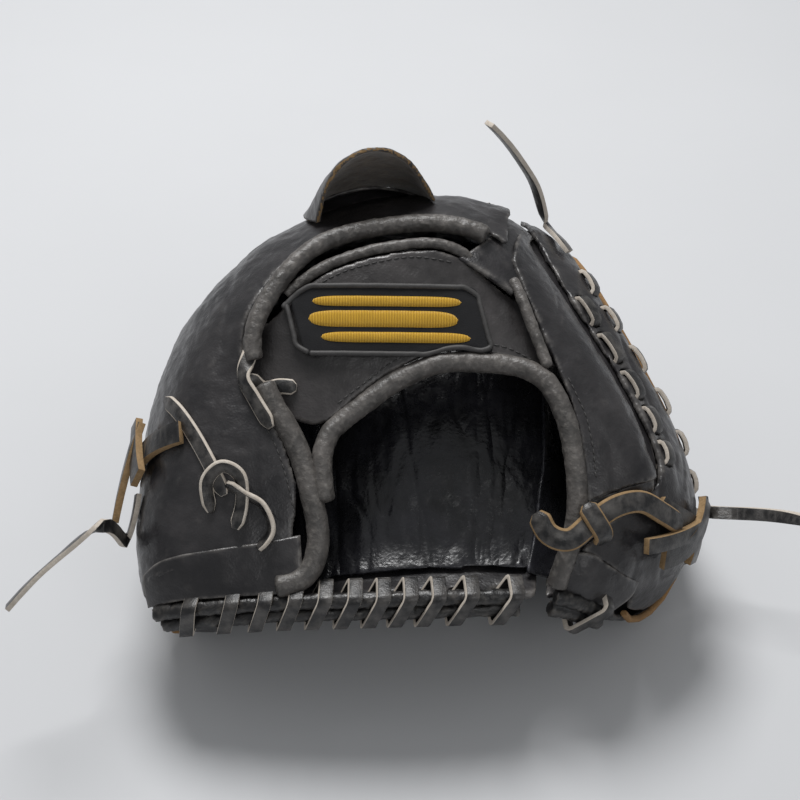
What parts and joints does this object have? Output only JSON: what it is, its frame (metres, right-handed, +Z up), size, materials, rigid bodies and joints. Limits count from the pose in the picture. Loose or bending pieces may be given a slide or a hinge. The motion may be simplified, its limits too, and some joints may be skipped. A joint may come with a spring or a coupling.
{
  "type": "baseball catchers mitt",
  "caption": "Black leather catcher's mitt for the left hand, palm down, with laced heel and rims, wrist strap, finger hood and web.",
  "frame": {"origin": "centre of the bounding box in plan, at the surface the mitt lies on", "axes": "+Z up, +Y from the heel towards the finger tips, +X towards the thumb"},
  "size_m": [0.3738, 0.27, 0.2129],
  "materials": {
    "black_leather": "grained, semi gloss",
    "rolled_leather": "worn on the ridges",
    "lace": "rawhide with pale cut edges",
    "lining": "smooth, creased",
    "hood_leather": "grained outside, tan flesh side within",
    "tan_welt": "raw tan edge",
    "felt": "pressed wool",
    "pile": "short sheepskin pile",
    "patch_cloth": "embroidered border, blank field"
  },
  "bodies": {
    "mitt": {"hand_back": "black_leather", "rim_lace_fingers": "lace", "palm": "black_leather", "finger_welt": "tan_welt", "palm_felt": "felt", "palm_lining": "lining", "finger_rim_felt": "felt", "side_panel": "black_leather", "heel_side_roll": "rolled_leather", "back_opening_roll": "rolled_leather", "side_opening_roll": "rolled_leather", "wrist_strap": "black_leather", "strap_pile": "pile", "strap_patch": "patch_cloth", "hand_opening_roll": "rolled_leather", "strap_edge_roll": "rolled_leather", "heel_binding_lower": "rolled_leather", "heel_binding_upper": "rolled_leather", "heel_lace": "lace", "little_finger_knot": "lace", "finger_lace": "lace", "strap_lace": "lace", "heel_lace_end": "lace"},
    "thumb": {"thumb_back": "black_leather", "rim_lace_thumb": "lace", "seam_lace": "lace", "thumb_palm": "black_leather", "thumb_welt": "tan_welt", "thumb_felt": "felt", "thumb_heel_binding": "rolled_leather", "thumb_heel_lace": "lace", "thumb_knot": "lace", "thumb_lace_end": "lace", "top_lace_end": "lace", "thumb_lining": "lining", "thumb_opening_roll": "rolled_leather"},
    "web": {"web": "black_leather", "web_lace_fingers": "lace", "web_lace_thumb": "lace"},
    "hood": {"finger_hood": "hood_leather"}
  },
  "joints": [
    {"name": "thumb_close", "type": "hinge", "parent": "mitt", "child": "thumb", "pos_m": [0.04943, -0.11985, 0.05317], "axis": [0, 0.9834, 0.1816], "range_deg": [0, 12], "deforming": ["web_lace_thumb", "web_lace_fingers"]},
    {"name": "web_fold", "type": "hinge", "parent": "mitt", "child": "web", "pos_m": [0.04943, -0.11985, 0.05317], "axis": [0, 0.9834, 0.1816], "range_deg": [0, 6]},
    {"name": "hood_lift", "type": "hinge", "parent": "mitt", "child": "hood", "pos_m": [-0.02157, 0.05665, 0.15797], "axis": [-1, 0, 0], "range_deg": [0, 25]}
  ],
  "couplings": [
    {"joint": "web_fold", "follows": "thumb_close", "ratio": 0.5}
  ]
}
